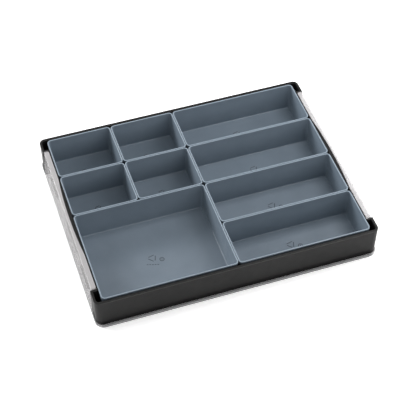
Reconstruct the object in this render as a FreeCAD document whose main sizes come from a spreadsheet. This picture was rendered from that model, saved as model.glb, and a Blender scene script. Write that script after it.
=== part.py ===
import FreeCAD, Part
import math
import os
import Sketcher

# Drawer organizer insert: nine loose bins stand in a black tray, and the tray
# drops into a clear carrier that has a low lip all round and a tall flap with a
# flange on each side. +X runs to the right along the front, +Y to the back, +Z up.
# The origin is the centre of the carrier's underside. Millimetres and degrees.

doc = FreeCAD.newDocument("drawer_organizer")
sheet = doc.addObject("Spreadsheet::Sheet", "sizes")

DRIVING = [
    ("total_height", 47.0),        # underside of the carrier to the bins' rims
    # the grid that the bins stand in
    ("cell_width", 89.6),          # one of four columns
    ("cell_depth", 71.0),          # one of four rows
    ("bin_gap", 0.6),              # between the rims of two neighbours
    ("bin_wall", 1.6),
    ("bin_floor", 1.6),
    ("bin_corner", 5.2),           # outside corner radius at the rim
    ("bin_taper", 2.0),            # draft of the walls
    ("bin_foot_round", 1.2),       # outside, where the wall meets the floor
    ("bin_well_round", 1.4),       # inside, where the wall meets the floor
    ("bin_rim_round", 0.4),
    # the black tray
    ("tray_drop", 1.2),            # its rim lies below the bins' rims
    ("tray_width", 378.4),         # over the corner posts, at the rim
    ("tray_depth", 295.2),         # over the front and back walls, at the rim
    ("tray_corner", 8),
    ("tray_well_corner", 4.0),
    ("tray_taper", 1.2),
    ("tray_wall", 4.0),            # front and back
    ("post_wall", 3.0),            # the posts' side and end walls
    ("tray_floor", 1.6),
    ("tray_waist", 361.2),         # over the side walls, between the posts
    ("waist_wall", 1.0),           # the side walls, where they start from the posts
    ("post_start", 123.3),         # outer face of a post's end wall, from the middle
    ("post_reach", 187.0),         # how far that end wall runs out
    ("tray_rim_round", 0.3),       # along the front, the back and the posts
    # the finger recess, where the flange's edge and the tray's side bow outwards
    ("bow_half_length", 68.0),
    ("bow_rise", 3.2),
    # the clear carrier
    ("base_width", 379.6),
    ("base_depth", 300.8),
    ("base_corner", 12.0),
    ("base_floor", 1.6),
    ("lip_height", 4.4),
    ("lip_wall", 1.2),
    ("flap_half_length", 122.7),
    ("flap_wall", 1.6),
    ("flap_lean", 2.4),            # the flap stands in by this much at its top
    ("flange_drop", 0.3),          # its top lies below the bins' rims
    ("flange_clearance", 0.3),     # from its edge to the tray's side wall
    ("flange_end_round", 3.0),
    ("flange_top_round", 1.0),
    # two short shelves inside each flap, half way up
    ("shelf_height", 18.6),
    ("shelf_thickness", 1.6),
    ("shelf_edge", 184.0),         # the shelves' inner edge, from the middle
    ("shelf_root", 188.0),         # they are one with the flap from here out
    ("shelf_near", 61.0),          # their ends, along the flap
    ("shelf_far", 99.0),
]
for row, (name, value) in enumerate(DRIVING, start=1):
    sheet.set("A%d" % row, name)
    sheet.set("B%d" % row, str(value))
    sheet.setAlias("B%d" % row, name)
doc.recompute()

START, END, CENTRE = 1, 2, 3       # the points of a line or arc
ORIGIN = (-1, 1)                   # the sketch's origin, as a constraint names it
X_AXIS = -1
UP = FreeCAD.Vector(0, 0, 1)

BIN_HEIGHT = "sizes.total_height - sizes.base_floor - sizes.tray_floor"
TRAY_HEIGHT = "sizes.total_height - sizes.base_floor - sizes.tray_drop"
FLANGE_TOP = "sizes.total_height - sizes.flange_drop"
BOW_RADIUS = "(sizes.bow_half_length ^ 2 + sizes.bow_rise ^ 2) / (2 * sizes.bow_rise)"


def size(rule):
    """The number that an expression over the sheet gives."""
    return float(sheet.evalExpression(rule.replace("sizes.", "")))


def point(x, y):
    return FreeCAD.Vector(x, y, 0)


# ---- sketches ----------------------------------------------------------------

def new_body(label):
    body = doc.addObject("PartDesign::Body", label)
    body.Label = label
    return body


def origin_feature(body, role):
    return next(o for o in body.Origin.OriginFeatures if o.Role == role)


def new_sketch(body, name, role="XY_Plane", raised=None):
    """A sketch on one of the body's own planes, raised by an expression."""
    sketch = body.newObject("Sketcher::SketchObject", name)
    sketch.AttachmentSupport = [(origin_feature(body, role), "")]
    sketch.MapMode = "FlatFace"
    if raised:
        sketch.setExpression("AttachmentOffset.Base.z", raised)
    return sketch


def constrain(sketch, kind, *where, rule=None):
    """Add a constraint; rule, an expression over the sheet, drives its value."""
    if rule is None:
        sketch.addConstraint(Sketcher.Constraint(kind, *where))
        return
    index = sketch.addConstraint(Sketcher.Constraint(kind, *where, size(rule)))
    sketch.setExpression("Constraints[%d]" % index, rule)


def add_line(sketch, p, q, kind=None):
    index = sketch.addGeometry(Part.LineSegment(point(*p), point(*q)))
    if kind:
        constrain(sketch, kind, index)
    return index


def add_arc(sketch, centre, radius, start, sweep):
    circle = Part.Circle(point(*centre), UP, radius)
    begin = math.radians(start)
    return sketch.addGeometry(Part.ArcOfCircle(circle, begin, begin + math.radians(sweep)))


def rounded_rectangle(sketch, width, depth, radius):
    """A rounded rectangle about the sketch's origin, from three expressions."""
    x, y, r = size(width) / 2, size(depth) / 2, size(radius)
    a, b = x - r, y - r
    sides = [((-a, -y), (a, -y)), ((x, -b), (x, b)), ((a, y), (-a, y)), ((-x, b), (-x, -b))]
    corners = [(a, -b), (a, b), (-a, b), (-a, -b)]
    lines, arcs = [], []
    for turn, (side, corner) in enumerate(zip(sides, corners)):
        lines.append(add_line(sketch, *side, "Vertical" if turn % 2 else "Horizontal"))
        arcs.append(add_arc(sketch, corner, r, 90 * turn - 90, 90))
    for turn in range(4):
        constrain(sketch, "Tangent", lines[turn], END, arcs[turn], START)
        constrain(sketch, "Tangent", arcs[turn], END, lines[(turn + 1) % 4], START)
    for arc in arcs[1:]:
        constrain(sketch, "Equal", arcs[0], arc)
    constrain(sketch, "Symmetric", arcs[0], CENTRE, arcs[2], CENTRE, *ORIGIN)
    constrain(sketch, "Radius", arcs[0], rule=radius)
    constrain(sketch, "DistanceX", lines[3], START, lines[1], START, rule=width)
    constrain(sketch, "DistanceY", lines[0], START, lines[2], START, rule=depth)


def bowed_path(sketch, offset, reach):
    """A line parallel to Y whose middle bows out to +X; returns its two ends.

    offset and reach are expressions: the line's X, and its half length."""
    x, end, half = size(offset), size(reach), size("sizes.bow_half_length")
    radius = size(BOW_RADIUS)
    half_angle = math.degrees(math.asin(half / radius))
    centre = (x - radius * math.cos(math.radians(half_angle)), 0)
    back = add_line(sketch, (x, end), (x, half), "Vertical")
    bow = add_arc(sketch, centre, radius, -half_angle, 2 * half_angle)
    front = add_line(sketch, (x, -half), (x, -end))
    constrain(sketch, "Coincident", back, END, bow, END)
    constrain(sketch, "Coincident", bow, START, front, START)
    constrain(sketch, "Symmetric", back, START, front, END, X_AXIS)
    constrain(sketch, "Symmetric", back, END, front, START, X_AXIS)
    constrain(sketch, "Radius", bow, rule=BOW_RADIUS)
    constrain(sketch, "DistanceY", bow, START, bow, END, rule="2 * sizes.bow_half_length")
    constrain(sketch, "DistanceX", *ORIGIN, back, START, rule=offset)
    constrain(sketch, "DistanceY", *ORIGIN, back, START, rule=reach)
    return (back, START), (front, END)


def straight_path(sketch, offset, reach):
    """A line parallel to Y, from two expressions; returns its back and front ends."""
    x, end = size(offset), size(reach)
    line = add_line(sketch, (x, end), (x, -end))
    constrain(sketch, "Symmetric", line, START, line, END, X_AXIS)
    constrain(sketch, "DistanceX", *ORIGIN, line, START, rule=offset)
    constrain(sketch, "DistanceY", *ORIGIN, line, START, rule=reach)
    return (line, START), (line, END)


def rectangle(sketch, left, right, front, back):
    """A rectangle from four expressions, the X and Y of its sides."""
    x = size(left), size(right)
    y = size(front), size(back)
    corners = [(x[0], y[0]), (x[1], y[0]), (x[1], y[1]), (x[0], y[1])]
    lines = []
    for turn in range(4):
        kind = "Vertical" if turn % 2 else "Horizontal"
        lines.append(add_line(sketch, corners[turn], corners[(turn + 1) % 4], kind))
    for turn in range(4):
        constrain(sketch, "Coincident", lines[turn], END, lines[(turn + 1) % 4], START)
    constrain(sketch, "DistanceX", *ORIGIN, lines[3], START, rule=left)
    constrain(sketch, "DistanceX", *ORIGIN, lines[1], START, rule=right)
    constrain(sketch, "DistanceY", *ORIGIN, lines[0], START, rule=front)
    constrain(sketch, "DistanceY", *ORIGIN, lines[2], START, rule=back)


def link(sketch, from_end, to_end, far):
    """Join two ends with the = shaped run: out to X = far, along Y, and back."""
    p = sketch.getPoint(*from_end)
    q = sketch.getPoint(*to_end)
    x = size(far)
    out = add_line(sketch, (p.x, p.y), (x, p.y), "Horizontal")
    along = add_line(sketch, (x, p.y), (x, q.y), "Vertical")
    home = add_line(sketch, (x, q.y), (q.x, q.y), "Horizontal")
    constrain(sketch, "Coincident", *from_end, out, START)
    constrain(sketch, "Coincident", out, END, along, START)
    constrain(sketch, "Coincident", along, END, home, START)
    constrain(sketch, "Coincident", home, END, *to_end)
    constrain(sketch, "DistanceX", *ORIGIN, along, START, rule=far)


# ---- features ----------------------------------------------------------------

def solid_feature(body, kind, sketch, length, taper=None, **settings):
    feature = body.newObject("PartDesign::" + kind, sketch.Name + kind)
    feature.Profile = sketch
    feature.setExpression("Length", length)
    if taper:
        feature.setExpression("TaperAngle", taper)
    for name, value in settings.items():
        setattr(feature, name, value)
    sketch.Visibility = False
    doc.recompute()
    return feature


def round_edges(body, radius, chosen):
    """Fillet those edges of the body's tip for which chosen(edge) is true."""
    tip = body.Tip
    names = ["Edge%d" % (i + 1) for i, e in enumerate(tip.Shape.Edges) if chosen(e)]
    fillet = body.newObject("PartDesign::Fillet", "Round")
    fillet.Base = (tip, names)
    fillet.setExpression("Radius", radius)
    doc.recompute()
    return fillet


def flat_at(rule):
    """A test for edges that lie level at the height that rule gives."""
    level = size(rule)

    def test(edge):
        box = edge.BoundBox
        return abs(box.ZMin - level) < 1e-4 and abs(box.ZMax - level) < 1e-4
    return test


def mirror_left(body, originals):
    mirrored = body.newObject("PartDesign::Mirrored", "LeftSide")
    mirrored.Originals = originals
    mirrored.MirrorPlane = (origin_feature(body, "YZ_Plane"), [""])
    body.Tip = mirrored
    doc.recompute()


# ---- the three kinds of piece -------------------------------------------------

def make_bin(label, column, row, columns, rows):
    """A drafted, round-cornered box; column and row name its front left cell."""
    body = new_body(label)
    width = "(sizes.cell_width * %d - sizes.bin_gap)" % columns
    depth = "(sizes.cell_depth * %d - sizes.bin_gap)" % rows
    shell = new_sketch(body, label + "_rim", raised=BIN_HEIGHT)
    rounded_rectangle(shell, width, depth, "sizes.bin_corner")
    solid_feature(body, "Pad", shell, BIN_HEIGHT, "-sizes.bin_taper", Reversed=True)
    well = new_sketch(body, label + "_well", raised=BIN_HEIGHT)
    rounded_rectangle(well, width + " - 2 * sizes.bin_wall", depth + " - 2 * sizes.bin_wall",
                      "sizes.bin_corner - sizes.bin_wall")
    solid_feature(body, "Pocket", well, BIN_HEIGHT + " - sizes.bin_floor", "-sizes.bin_taper")
    round_edges(body, "sizes.bin_well_round", flat_at("sizes.bin_floor"))
    round_edges(body, "sizes.bin_foot_round", flat_at("0"))
    round_edges(body, "sizes.bin_rim_round", flat_at(BIN_HEIGHT))
    body.setExpression("Placement.Base.x", "sizes.cell_width * %g" % (column + columns / 2 - 2))
    body.setExpression("Placement.Base.y", "sizes.cell_depth * %g" % (row + rows / 2 - 2))
    body.setExpression("Placement.Base.z", "sizes.base_floor + sizes.tray_floor")
    return body


def make_tray():
    """A tray that is full width at its four corner posts and waisted between.

    Its side walls are straight inside and swell outwards in the middle."""
    body = new_body("black_tray")
    shell = new_sketch(body, "tray_rim", raised=TRAY_HEIGHT)
    rounded_rectangle(shell, "sizes.tray_width", "sizes.tray_depth", "sizes.tray_corner")
    solid_feature(body, "Pad", shell, TRAY_HEIGHT, "-sizes.tray_taper", Reversed=True)
    well = new_sketch(body, "tray_well", raised=TRAY_HEIGHT)
    rounded_rectangle(well, "sizes.tray_width - 2 * sizes.post_wall",
                      "sizes.tray_depth - 2 * sizes.tray_wall", "sizes.tray_well_corner")
    solid_feature(body, "Pocket", well, TRAY_HEIGHT + " - sizes.tray_floor",
                  "-sizes.tray_taper")

    waist = new_sketch(body, "tray_waist_cut", raised=TRAY_HEIGHT)
    back, front = bowed_path(waist, "sizes.tray_waist / 2", "sizes.post_start")
    link(waist, front, back, "sizes.tray_width")
    cut = solid_feature(body, "Pocket", waist, TRAY_HEIGHT + " + 1")

    wall = new_sketch(body, "tray_waist_wall")
    inner = "sizes.tray_waist / 2 - sizes.waist_wall"
    inner_reach = "sizes.post_start + sizes.post_wall"
    outer_back, outer_front = bowed_path(wall, "sizes.tray_waist / 2", "sizes.post_start")
    inner_back, inner_front = straight_path(wall, inner, inner_reach)
    link(wall, inner_back, outer_back, "sizes.post_reach")
    link(wall, outer_front, inner_front, "sizes.post_reach")
    side = solid_feature(body, "Pad", wall, TRAY_HEIGHT)
    mirror_left(body, [cut, side])

    at_rim, posts = flat_at(TRAY_HEIGHT), size("sizes.post_start - 1")
    round_edges(body, "sizes.tray_rim_round",
                lambda e: at_rim(e) and abs(e.CenterOfMass.y) > posts)
    body.setExpression("Placement.Base.z", "sizes.base_floor")
    return body


def make_carrier():
    """A shallow clear pan with a flanged flap standing up from each side."""
    body = new_body("clear_carrier")
    base = new_sketch(body, "carrier_base")
    rounded_rectangle(base, "sizes.base_width", "sizes.base_depth", "sizes.base_corner")
    solid_feature(body, "Pad", base, "sizes.lip_height")
    pan = new_sketch(body, "carrier_pan", raised="sizes.lip_height")
    rounded_rectangle(pan, "sizes.base_width - 2 * sizes.lip_wall",
                      "sizes.base_depth - 2 * sizes.lip_wall",
                      "sizes.base_corner - sizes.lip_wall")
    solid_feature(body, "Pocket", pan, "sizes.lip_height - sizes.base_floor")

    section = new_sketch(body, "flap_section", role="XZ_Plane")
    flap_section(section)
    flap = solid_feature(body, "Pad", section, "2 * sizes.flap_half_length", Midplane=True)
    recess = new_sketch(body, "flange_edge", raised=FLANGE_TOP)
    back, front = bowed_path(recess, "sizes.tray_waist / 2 + sizes.flange_clearance",
                             "sizes.flap_half_length + 2")
    link(recess, front, back, "sizes.tray_waist / 2 - 4")
    edge = solid_feature(body, "Pocket", recess, "sizes.flap_wall + 2")
    shelves = new_sketch(body, "flap_shelves", raised="sizes.shelf_height")
    for front, back in (("sizes.shelf_near", "sizes.shelf_far"),
                        ("-sizes.shelf_far", "-sizes.shelf_near")):
        rectangle(shelves, "sizes.shelf_edge", "sizes.shelf_root", front, back)
    shelf = solid_feature(body, "Pad", shelves, "sizes.shelf_thickness")
    mirror_left(body, [flap, edge, shelf])

    ends = size("sizes.flap_half_length")
    edge_x = size("sizes.tray_waist / 2 + sizes.flange_clearance")
    round_edges(body, "sizes.flange_end_round", lambda e: upright_at(e, edge_x, ends))
    top_x = size("sizes.base_width / 2 - sizes.flap_lean")
    on_top = flat_at(FLANGE_TOP)
    round_edges(body, "sizes.flange_top_round",
                lambda e: on_top(e) and abs(abs(e.CenterOfMass.x) - top_x) < 1e-3)
    return body


def upright_at(edge, x, y):
    """True for an upright edge at plus or minus x and plus or minus y."""
    box = edge.BoundBox
    thin = box.XLength < 1e-4 and box.YLength < 1e-4
    return thin and abs(abs(box.XMin) - x) < 1e-3 and abs(abs(box.YMin) - y) < 1e-3


def flap_section(sketch):
    """The flap's hooked section, in X and Z, for the right hand side."""
    foot = "sizes.base_width / 2"
    head = "sizes.base_width / 2 - sizes.flap_lean"
    flange = "sizes.tray_waist / 2 - 2"
    f, k, t = size(foot), size(head), size("sizes.flap_wall")
    n, top = size(flange), size(FLANGE_TOP)
    corners = [(f, 0), (k, top), (n, top), (n, top - t), (k - t, top - t), (f - t, 0)]
    kinds = [None, "Horizontal", "Vertical", "Horizontal", None, "Horizontal"]
    lines = []
    for place, (corner, kind) in enumerate(zip(corners, kinds)):
        lines.append(add_line(sketch, corner, corners[(place + 1) % 6], kind))
    for place in range(6):
        constrain(sketch, "Coincident", lines[place], END, lines[(place + 1) % 6], START)
    constrain(sketch, "PointOnObject", lines[0], START, X_AXIS)
    constrain(sketch, "Parallel", lines[0], lines[4])
    constrain(sketch, "DistanceX", *ORIGIN, lines[0], START, rule=foot)
    constrain(sketch, "DistanceX", *ORIGIN, lines[0], END, rule=head)
    constrain(sketch, "DistanceX", *ORIGIN, lines[2], START, rule=flange)
    constrain(sketch, "DistanceY", *ORIGIN, lines[0], END, rule=FLANGE_TOP)
    constrain(sketch, "DistanceY", lines[2], END, lines[2], START, rule="sizes.flap_wall")
    constrain(sketch, "DistanceX", lines[5], START, lines[5], END, rule="sizes.flap_wall")


# label, column, row, columns, rows; column 0 is at the left and row 0 at the front
BINS = [
    ("large_bin", 0, 0, 2, 2),
    ("small_bin_1", 0, 3, 1, 1),
    ("small_bin_2", 1, 3, 1, 1),
    ("small_bin_3", 0, 2, 1, 1),
    ("small_bin_4", 1, 2, 1, 1),
    ("long_bin_1", 2, 3, 2, 1),
    ("long_bin_2", 2, 2, 2, 1),
    ("long_bin_3", 2, 1, 2, 1),
    ("long_bin_4", 2, 0, 2, 1),
]

pieces = [make_carrier(), make_tray()]
for layout in BINS:
    pieces.append(make_bin(*layout))
doc.recompute()

for item in doc.Objects:
    if "Invalid" in item.State or "Error" in item.State:
        raise RuntimeError("%s failed: %s" % (item.Name, item.State))
for piece in pieces:
    if piece.Shape.isNull() or not piece.Shape.isValid() or len(piece.Shape.Solids) != 1:
        raise RuntimeError(piece.Label + " is not one valid solid")

os.makedirs("parts", exist_ok=True)
for piece in pieces:
    piece.Shape.exportStep("parts/%s.step" % piece.Label)
    box = piece.Shape.BoundBox
    print("%-14s %7.1f cm3  x %.1f %.1f  y %.1f %.1f  z %.1f %.1f" % (
        piece.Label, piece.Shape.Volume / 1000, box.XMin, box.XMax,
        box.YMin, box.YMax, box.ZMin, box.ZMax))
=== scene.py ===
import bpy
import math
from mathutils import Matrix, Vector


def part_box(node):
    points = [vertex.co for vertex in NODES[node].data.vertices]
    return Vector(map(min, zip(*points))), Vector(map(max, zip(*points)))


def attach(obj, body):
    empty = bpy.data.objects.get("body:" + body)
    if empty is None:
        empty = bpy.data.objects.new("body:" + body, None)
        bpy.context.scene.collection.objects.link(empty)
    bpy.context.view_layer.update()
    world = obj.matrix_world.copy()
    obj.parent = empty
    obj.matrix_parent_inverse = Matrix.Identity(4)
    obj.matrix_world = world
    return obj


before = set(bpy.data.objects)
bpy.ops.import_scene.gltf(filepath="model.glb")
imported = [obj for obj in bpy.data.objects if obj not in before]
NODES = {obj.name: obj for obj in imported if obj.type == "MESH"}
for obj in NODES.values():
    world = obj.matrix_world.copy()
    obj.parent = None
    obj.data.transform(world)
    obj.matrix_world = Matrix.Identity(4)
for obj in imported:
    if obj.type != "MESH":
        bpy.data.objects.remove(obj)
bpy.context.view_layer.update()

# Drawer organizer insert: loose slate bins in a black tray, in a milky clear carrier.
# Metres; +X right along the front, +Y to the back, +Z up.

MM = 0.001
BINS = sorted(n for n in NODES if n.endswith("_bin") or "_bin_" in n)


# ---- node helpers --------------------------------------------------------------

class Shader:
    """A material's node tree, with short calls for the nodes used here."""

    def __init__(self, name):
        self.material = bpy.data.materials.new(name)
        self.material.use_nodes = True
        self.tree = self.material.node_tree
        self.surface = self.tree.nodes["Principled BSDF"]
        self.place = self.add("ShaderNodeTexCoord").outputs["Object"]
        self.axes = None

    def add(self, kind, **settings):
        node = self.tree.nodes.new(kind)
        for name, value in settings.items():
            setattr(node, name, value)
        return node

    def link(self, source, target):
        self.tree.links.new(source, target)

    def feed(self, name, source):
        """Link an output to one of the surface shader's inputs."""
        self.link(source, self.surface.inputs[name])

    def set(self, name, value):
        """Give one of the surface shader's inputs the same value all over."""
        self.surface.inputs[name].default_value = value

    def noise(self, scale, detail=3.0, roughness=0.55, stretch=None):
        """Noise over object coordinates; scale is in features per metre."""
        node = self.add("ShaderNodeTexNoise")
        node.inputs["Scale"].default_value = scale
        node.inputs["Detail"].default_value = detail
        node.inputs["Roughness"].default_value = roughness
        source = self.place
        if stretch:
            mapping = self.add("ShaderNodeMapping")
            mapping.inputs["Scale"].default_value = stretch
            self.link(source, mapping.inputs["Vector"])
            source = mapping.outputs["Vector"]
        self.link(source, node.inputs["Vector"])
        return node.outputs["Fac"]

    def ramp(self, source, stops):
        """A colour ramp; stops are (position, colour) pairs."""
        node = self.add("ShaderNodeValToRGB")
        elements = node.color_ramp.elements
        while len(elements) < len(stops):
            elements.new(0.5)
        for element, (position, colour) in zip(elements, stops):
            element.position = position
            element.color = (*colour, 1.0)
        self.link(source, node.inputs["Fac"])
        return node.outputs["Color"]

    def spread(self, source, low, high, source_low=0.3, source_high=0.7):
        """Map source_low to source_high onto low to high, and hold it there beyond."""
        node = self.add("ShaderNodeMapRange")
        node.inputs["From Min"].default_value = source_low
        node.inputs["From Max"].default_value = source_high
        node.inputs["To Min"].default_value = low
        node.inputs["To Max"].default_value = high
        self.link(source, node.inputs["Value"])
        return node.outputs["Result"]

    def math(self, operation, first, second=0.0):
        """A maths node; each operand is a float or the output that feeds it."""
        node = self.add("ShaderNodeMath", operation=operation)
        for socket, value in zip(node.inputs, (first, second)):
            if isinstance(value, float):
                socket.default_value = value
            else:
                self.link(value, socket)
        return node.outputs["Value"]

    def axis(self, name):
        """X, Y or Z of the object coordinates."""
        if not self.axes:
            self.axes = self.add("ShaderNodeSeparateXYZ").outputs
            self.link(self.place, self.axes[0].node.inputs["Vector"])
        return self.axes[name]

    def band(self, axis, start, full):
        """0 up to start along the axis and 1 from full onwards."""
        return self.spread(self.axis(axis), 0.0, 1.0, start, full)

    def inside(self, low, high):
        """1 inside a box given in |x|, |y| and |z|, and 0 outside it."""
        result = 1.0
        for name, least, most in zip("XYZ", low, high):
            along = self.math("ABSOLUTE", self.axis(name))
            result = self.math("MULTIPLY", self.math("GREATER_THAN", along, least), result)
            result = self.math("MULTIPLY", self.math("LESS_THAN", along, most), result)
        return result

    def mix(self, amount, first, second):
        """Two colours, mixed; each is a plain colour or the output that feeds it."""
        node = self.add("ShaderNodeMix", data_type="RGBA")
        colours = [socket for socket in node.inputs if socket.type == "RGBA"]
        self.link(amount, node.inputs[0])
        for socket, value in zip(colours, (first, second)):
            if isinstance(value, tuple):
                socket.default_value = (*value, 1.0)
            else:
                self.link(value, socket)
        return next(socket for socket in node.outputs if socket.type == "RGBA")

    def bump(self, height, strength, distance, under=None):
        """A bumped normal, on top of the normal under if there is one."""
        node = self.add("ShaderNodeBump")
        node.inputs["Strength"].default_value = strength
        node.inputs["Distance"].default_value = distance
        self.link(height, node.inputs["Height"])
        if under:
            self.link(under, node.inputs["Normal"])
        return node.outputs["Normal"]


# ---- finishes ------------------------------------------------------------------

SLATE_DARK, SLATE_LIGHT = (0.120, 0.152, 0.186), (0.134, 0.167, 0.202)
# painted highlight: paler slate along the top of each bin rim
SLATE_RIM_HIGHLIGHT = (0.165, 0.205, 0.245)
# painted shade: the mould marks' slate, far darker than the bins' own slate
MARK_SHADE_DARK, MARK_SHADE_LIGHT = (0.026, 0.034, 0.044), (0.034, 0.044, 0.056)
BLACK_DARK, BLACK_LIGHT = (0.0084, 0.0082, 0.0082), (0.0110, 0.0107, 0.0107)
# painted highlight: paler black along the tray's front top edge
BLACK_EDGE_HIGHLIGHT = (0.042, 0.0415, 0.0415)
CLEAR_DARK, CLEAR_LIGHT = (0.360, 0.346, 0.355), (0.420, 0.405, 0.415)
CLEAR_FLANGE = (0.40, 0.39, 0.395)
# painted shade: the lip's darker grey, for its contact shadow and the black tray seen through
# it
CLEAR_LIP_SHADE = (0.20, 0.20, 0.205)
# painted shade: the shelves' dark grey
CLEAR_SHELF_SHADE = (0.12, 0.12, 0.117)

# grains per metre and their depth
SLATE_GRAIN, BLACK_GRAIN = (2600.0, 0.05 * MM), (1900.0, 0.06 * MM)
MARK_GRAIN = 2600.0, 0.01 * MM
SLATE_ROUGHNESS, BLACK_ROUGHNESS, MARK_ROUGHNESS = (0.38, 0.48), (0.40, 0.48), (0.34, 0.44)
CLEAR_ROUGHNESS = 0.16, 0.28
POLYPROPYLENE_IOR, STYRENE_IOR = 1.49, 1.58
BLACK_SPECULAR, CLEAR_SPECULAR = 0.14, 0.3
# features per metre: a moulding's colour mottle, gloss patches and sink, and the clear
# plastic's cloud, flow lines and ripple
MOTTLE, PATCHES, SINK = 38.0, 90.0, 22.0
CLOUD, FLOW, RIPPLE = 30.0, 14.0, 60.0

RIM_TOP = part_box("large_bin")[1][2]
TRAY_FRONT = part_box("black_tray")[0][1]
TRAY_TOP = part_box("black_tray")[1][2]
# where the painted edge highlights start and where they are at full strength
BIN_RIM_HIGHLIGHT_HEIGHTS = RIM_TOP - 0.9 * MM, RIM_TOP - 0.2 * MM
TRAY_HIGHLIGHT_HEIGHTS = TRAY_TOP - 0.7 * MM, TRAY_TOP - 0.4 * MM
TRAY_HIGHLIGHT_DEPTHS = TRAY_FRONT + 0.5 * MM, TRAY_FRONT + 0.3 * MM

# The clear carrier's dense regions, as the lowest and highest |x|, |y| and |z| of each.
# ANY leaves a side open.
ANY = -1.0
SHELVES = (0.1835, 0.0605, 0.0182), (0.1871, 0.0995, 0.0206)
FLAP_ENDS = (0.1800, 0.1212, 0.0040), (0.2000, 0.1240, 0.0480)
FLANGES = (0.1600, ANY, 0.0448), (0.2000, 0.1212, 0.0480)
LONG_LIPS = (ANY, 0.1490, ANY), (0.1900, 0.2000, 0.0046)
LIP_CORNERS = (0.1876, 0.1260, ANY), (0.2000, 0.2000, 0.0046)
# how much of the light each of them stops at one face; the plain flap stops the least
LIP_OPACITY, FLANGE_OPACITY, END_OPACITY, SHELF_OPACITY = 0.75, 0.66, 0.5, 0.9
FLAP_OPACITY = 0.20, 0.26


def moulded_plastic(name, dark, light, roughness, grain):
    """Opaque moulded plastic: slow mottling, fine spark-eroded grain, faint wear."""
    shader = Shader(name)
    grain_scale, grain_depth = grain
    mottle = shader.noise(MOTTLE, detail=4.0)
    shader.base = shader.ramp(mottle, [(0.3, dark), (0.7, light)])
    shader.feed("Base Color", shader.base)
    patches = shader.noise(PATCHES, detail=2.0)
    shader.feed("Roughness", shader.spread(patches, *roughness))
    fine = shader.noise(grain_scale, detail=2.0, roughness=0.7)
    sink = shader.bump(shader.noise(SINK, detail=1.0), strength=0.06, distance=0.4 * MM)
    shader.feed("Normal", shader.bump(fine, strength=0.35, distance=grain_depth, under=sink))
    shader.set("IOR", POLYPROPYLENE_IOR)
    return shader


def slate_plastic():
    """Slate polypropylene, with a painted highlight: paler along the top of each rim."""
    shader = moulded_plastic("slate_polypropylene", SLATE_DARK, SLATE_LIGHT,
                             SLATE_ROUGHNESS, SLATE_GRAIN)
    # painted highlight along the rim tops
    painted_highlight = shader.band("Z", *BIN_RIM_HIGHLIGHT_HEIGHTS)
    shader.feed("Base Color", shader.mix(painted_highlight, shader.base, SLATE_RIM_HIGHLIGHT))
    return shader.material


def black_plastic():
    """Black polypropylene, with a painted highlight: a little paler along its front top edge.
    """
    shader = moulded_plastic("black_polypropylene", BLACK_DARK, BLACK_LIGHT,
                             BLACK_ROUGHNESS, BLACK_GRAIN)
    shader.set("Specular IOR Level", BLACK_SPECULAR)
    # painted highlight along the front top edge
    painted_highlight = shader.math("MULTIPLY", shader.band("Z", *TRAY_HIGHLIGHT_HEIGHTS),
                      shader.band("Y", *TRAY_HIGHLIGHT_DEPTHS))
    shader.feed("Base Color", shader.mix(painted_highlight, shader.base, BLACK_EDGE_HIGHLIGHT))
    return shader.material


def clear_plastic():
    """Milky clear styrene: part of the light goes straight through, by alpha.

    Its thick lip and the flaps' shelves stop more light than the thin flaps, and are painted a
    darker grey: painted shade, for the lip's contact shadow and the black tray seen through
    it, and for the shade on the shelves."""
    shader = Shader("milky_clear_styrene")
    shelf, ends = shader.inside(*SHELVES), shader.inside(*FLAP_ENDS)
    flange = shader.inside(*FLANGES)
    lip = shader.math("MAXIMUM", shader.inside(*LONG_LIPS), shader.inside(*LIP_CORNERS))

    cloud = shader.noise(CLOUD, detail=3.0)
    colour = shader.ramp(cloud, [(0.3, CLEAR_DARK), (0.7, CLEAR_LIGHT)])
    # the flange gets its own grey; the lip and the shelves get darker greys, which are painted
    # shade
    for region, tint in ((flange, CLEAR_FLANGE), (lip, CLEAR_LIP_SHADE), (shelf, CLEAR_SHELF_SHADE)):
        colour = shader.mix(region, colour, tint)
    shader.feed("Base Color", colour)

    flow = shader.noise(FLOW, detail=3.0, stretch=(1.0, 0.12, 1.0))
    alpha = shader.spread(flow, *FLAP_OPACITY)
    for region, opacity in ((lip, LIP_OPACITY), (flange, FLANGE_OPACITY),
                            (ends, END_OPACITY), (shelf, SHELF_OPACITY)):
        alpha = shader.math("MAXIMUM", alpha, shader.math("MULTIPLY", region, opacity))
    shader.feed("Alpha", alpha)

    shader.feed("Roughness", shader.spread(cloud, *CLEAR_ROUGHNESS))
    ripple = shader.noise(RIPPLE, detail=1.0, stretch=(1.0, 0.25, 1.0))
    shader.feed("Normal", shader.bump(ripple, strength=0.15, distance=0.2 * MM))
    shader.set("IOR", STYRENE_IOR)
    shader.set("Specular IOR Level", CLEAR_SPECULAR)
    return shader.material


def finish_node(name, material):
    """Give a CAD node's mesh its material."""
    mesh = NODES[name].data
    mesh.materials.clear()
    mesh.materials.append(material)


slate = slate_plastic()
for name in BINS:
    finish_node(name, slate)
finish_node("black_tray", black_plastic())
finish_node("clear_carrier", clear_plastic())


# ---- mould marks ---------------------------------------------------------------

BIN_FLOOR = 1.6 * MM
SMALL_MARK, LARGE_MARK = 18.0 * MM, 23.0 * MM
MARK_SIZES = {"Line": 1.6 * MM, "Rise": 0.25 * MM, "Turn": math.radians(-17), "Dashes": 5}


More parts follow.
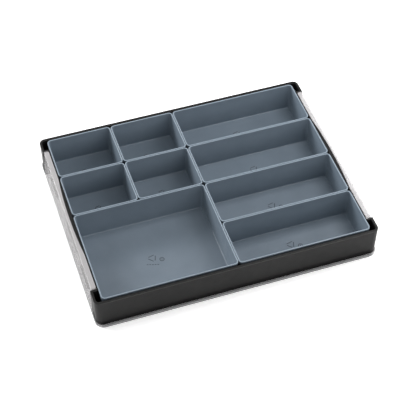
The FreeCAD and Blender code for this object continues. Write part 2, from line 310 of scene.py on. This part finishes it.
class MarkTree:
    """A geometry tree that lays one raised mould mark on each point it is given.

    The mark is drawn one unit wide, and Span gives it its real width."""

    SIZES = [("Span", "NodeSocketFloat"), ("Line", "NodeSocketFloat"),
             ("Rise", "NodeSocketFloat"), ("Turn", "NodeSocketFloat"),
             ("Dashes", "NodeSocketInt"), ("Material", "NodeSocketMaterial")]

    def __init__(self):
        self.tree = bpy.data.node_groups.new("mould_mark", "GeometryNodeTree")
        face = self.tree.interface
        face.new_socket(name="Places", in_out="INPUT", socket_type="NodeSocketGeometry")
        self.sizes = {name: face.new_socket(name=name, in_out="INPUT", socket_type=kind)
                      for name, kind in self.SIZES}
        face.new_socket(name="Marks", in_out="OUTPUT", socket_type="NodeSocketGeometry")
        self.given = self.tree.nodes.new("NodeGroupInput").outputs
        self.build()

    def add(self, kind, **inputs):
        """Add a node; an input is a value or the output that feeds it."""
        node = self.tree.nodes.new(kind)
        for name, value in inputs.items():
            self.give(node.inputs[name.replace("_", " ")], value)
        return node.outputs[0]

    def give(self, socket, value):
        if isinstance(value, bpy.types.NodeSocket):
            self.tree.links.new(value, socket)
        else:
            socket.default_value = value

    def math(self, operation, *operands):
        node = self.tree.nodes.new("ShaderNodeMath")
        node.operation = operation
        for socket, value in zip(node.inputs, operands):
            self.give(socket, value)
        return node.outputs[0]

    def along_z(self, amount):
        """A vector along Z: a height, or a turn about it."""
        return self.add("ShaderNodeCombineXYZ", Z=amount)

    def line(self, start, end):
        return self.add("GeometryNodeCurvePrimitiveLine", Start=(*start, 0.0), End=(*end, 0.0))

    def join(self, *parts):
        node = self.tree.nodes.new("GeometryNodeJoinGeometry")
        for part in parts:
            self.tree.links.new(part, node.inputs[0])
        return node.outputs[0]

    def move(self, geometry, x, y):
        return self.add("GeometryNodeTransform", Geometry=geometry, Translation=(x, y, 0.0))

    def triangle(self):
        """Three loose bars set as the sides of a triangle."""
        bar = self.line((-0.17, 0.0), (0.17, 0.0))
        middles = self.add("GeometryNodeMeshCircle", Vertices=3, Radius=0.16)
        turn = self.math("MULTIPLY_ADD", self.add("GeometryNodeInputIndex"),
                         2 * math.pi / 3, math.pi / 2)
        bars = self.add("GeometryNodeInstanceOnPoints", Points=middles, Instance=bar,
                        Rotation=self.along_z(turn))
        return self.move(bars, -0.18, 0.13)

    def ring(self):
        """A ring with one hand, like a plain date stamp."""
        ring = self.add("GeometryNodeCurvePrimitiveCircle", Resolution=20, Radius=0.12)
        hand = self.line((0.0, -0.05), (0.0, 0.05))
        return self.move(self.join(ring, hand), 0.36, 0.05)

    def dashes(self):
        """A row of plain dashes under the triangle and the ring."""
        dash = self.line((-0.045, 0.0), (0.045, 0.0))
        row = self.add("GeometryNodeMeshLine", Count=self.given["Dashes"],
                       Offset=(0.15, 0.0, 0.0))
        dashes = self.add("GeometryNodeInstanceOnPoints", Points=row, Instance=dash)
        return self.move(dashes, -0.45, -0.33)

    def build(self):
        """Round beads along the mark's lines, sunk so that only Rise stands out."""
        drawing = self.join(self.triangle(), self.ring(), self.dashes())
        lines = self.add("GeometryNodeRealizeInstances", Geometry=drawing)
        span = self.given["Span"]
        sized = self.add("GeometryNodeTransform", Geometry=lines,
                         Rotation=self.along_z(self.given["Turn"]),
                         Scale=self.add("ShaderNodeCombineXYZ", X=span, Y=span, Z=span))
        half = self.math("MULTIPLY", self.given["Line"], 0.5)
        bead = self.add("GeometryNodeCurvePrimitiveCircle", Resolution=10, Radius=half)
        solid = self.add("GeometryNodeCurveToMesh", Curve=sized, Profile_Curve=bead,
                         Fill_Caps=True)
        depth = self.math("SUBTRACT", self.given["Rise"], half)
        sunk = self.add("GeometryNodeTransform", Geometry=solid,
                        Translation=self.along_z(depth))
        marks = self.add("GeometryNodeInstanceOnPoints", Points=self.given["Places"],
                         Instance=sunk)
        real = self.add("GeometryNodeRealizeInstances", Geometry=marks)
        done = self.add("GeometryNodeSetMaterial", Geometry=real,
                        Material=self.given["Material"])
        self.tree.links.new(done, self.tree.nodes.new("NodeGroupOutput").inputs[0])


def mark_plastic():
    """The marks' slate, a little smoother than the floor and painted far darker: painted shade
    for the shadows along their raised lines.
    """
    return moulded_plastic("slate_mark_painted_shade", MARK_SHADE_DARK, MARK_SHADE_LIGHT,
                           MARK_ROUGHNESS, MARK_GRAIN).material


def floor_middle(name):
    """The middle of a bin's inside floor."""
    low, high = (Vector(corner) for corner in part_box(name))
    middle = (low + high) / 2
    middle.z = low.z + BIN_FLOOR
    return middle


def make_mark(name, marks, shaded_slate):
    """One bin's mark, as a plain mesh."""
    mesh = bpy.data.meshes.new(name + "_mould_mark")
    mesh.from_pydata([floor_middle(name)], [], [])
    piece = bpy.data.objects.new(mesh.name, mesh)
    bpy.context.scene.collection.objects.link(piece)
    modifier = piece.modifiers.new("mark", "NODES")
    modifier.node_group = marks.tree
    span = SMALL_MARK if name.startswith("small") else LARGE_MARK
    for size, value in {"Span": span, "Material": shaded_slate, **MARK_SIZES}.items():
        modifier[marks.sizes[size].identifier] = value
    shaped = piece.evaluated_get(bpy.context.evaluated_depsgraph_get())
    finished = bpy.data.meshes.new_from_object(shaped)
    piece.modifiers.remove(modifier)
    piece.data = finished
    bpy.data.meshes.remove(mesh)
    finished.name = piece.name
    return piece


def make_marks():
    marks = MarkTree()
    # the marks' darker slate is painted shade for the shadows along their lines
    shaded_slate = mark_plastic()
    for name in BINS:
        piece = make_mark(name, marks, shaded_slate)
        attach(piece, name)


make_marks()


# ---- floor, lights and camera ---------------------------------------------------

FLOOR_HALF = 4.0
FLOOR_DARK, FLOOR_LIGHT = (0.88, 0.88, 0.88), (0.90, 0.90, 0.90)
FLOOR_GLOW = 0.32
WORLD_STRENGTH = 0.05
WHITE = (1.0, 1.0, 1.0, 1.0)


def make_floor():
    """A pale floor that glows a little, so that shadows on it stay soft."""
    half = FLOOR_HALF
    mesh = bpy.data.meshes.new("studio_floor")
    mesh.from_pydata([(-half, -half, 0), (half, -half, 0), (half, half, 0), (-half, half, 0)],
                     [], [(0, 1, 2, 3)])
    floor = bpy.data.objects.new("studio_floor", mesh)
    bpy.context.scene.collection.objects.link(floor)
    shader = Shader("pale_floor")
    tint = shader.noise(3.0, detail=2.0)
    shader.feed("Base Color", shader.ramp(tint, [(0.3, FLOOR_DARK), (0.7, FLOOR_LIGHT)]))
    shader.set("Roughness", 0.9)
    shader.set("Emission Color", WHITE)
    shader.set("Emission Strength", FLOOR_GLOW)
    mesh.materials.append(shader.material)


def around(azimuth, elevation, distance):
    """A place seen from the middle: azimuth from the front, turning to the right."""
    turn, rise = math.radians(azimuth), math.radians(elevation)
    return (distance * math.sin(turn) * math.cos(rise),
            -distance * math.cos(turn) * math.cos(rise),
            distance * math.sin(rise))


def low(azimuth):
    """A place on the low ring of softboxes that stand round the object."""
    return around(azimuth, 25, 2.0)


MIDDLE = (0.0, 0.0, 0.0)
RIGHT_BINS = (0.216, 0.0, 0.0)
# name, place, where it aims, width in metres, power in watts
SOFTBOXES = [
    ("back_left", low(225), MIDDLE, 1.0, 48.0),
    ("left", low(270), MIDDLE, 1.0, 10.0),
    ("right", low(90), MIDDLE, 1.0, 20.0),
    ("front", low(0), MIDDLE, 1.0, 12.0),
    ("front_right", low(45), MIDDLE, 1.0, 7.0),
    ("back_right", low(135), MIDDLE, 1.0, 7.0),
    ("back", low(180), MIDDLE, 1.0, 12.0),
    ("over", (0.0, 0.0, 0.7), MIDDLE, 0.4, 1.4),
    ("over_right", (0.36, 0.0, 0.55), RIGHT_BINS, 0.3, 2.2),
]


def add_softbox(name, place, aim, width, power):
    """A square area light that lights the scene but isn't seen itself."""
    data = bpy.data.lights.new(name, "AREA")
    data.shape = "SQUARE"
    data.size = width
    data.energy = power
    light = bpy.data.objects.new(name, data)
    bpy.context.scene.collection.objects.link(light)
    light.location = place
    light.rotation_mode = "QUATERNION"
    light.rotation_quaternion = (Vector(aim) - Vector(place)).to_track_quat("-Z", "Y")
    light.visible_camera = False


def make_lights():
    world = bpy.data.worlds.new("studio")
    bpy.context.scene.world = world
    world.use_nodes = True
    background = world.node_tree.nodes["Background"]
    background.inputs["Color"].default_value = WHITE
    background.inputs["Strength"].default_value = WORLD_STRENGTH
    for softbox in SOFTBOXES:
        add_softbox(*softbox)


CAMERA_AZIMUTH, CAMERA_ELEVATION, CAMERA_DISTANCE = -18.42, 48.79, 1.603
CAMERA_TARGET = Vector((-0.0139, -0.0262, 0.047))
FOCAL_LENGTH, SENSOR_WIDTH = 110.2, 36.0    # millimetres


def make_camera():
    """Above the front, a little to the left, on a long lens."""
    data = bpy.data.cameras.new("camera")
    data.sensor_width = SENSOR_WIDTH
    data.lens = FOCAL_LENGTH
    camera = bpy.data.objects.new("camera", data)
    bpy.context.scene.collection.objects.link(camera)
    back = Vector(around(CAMERA_AZIMUTH, CAMERA_ELEVATION, 1.0))
    camera.location = CAMERA_TARGET + back * CAMERA_DISTANCE
    camera.rotation_mode = "QUATERNION"
    camera.rotation_quaternion = (-back).to_track_quat("-Z", "Y")
    bpy.context.scene.camera = camera


make_floor()
make_lights()
make_camera()

bpy.context.scene.view_settings.view_transform = "Standard"
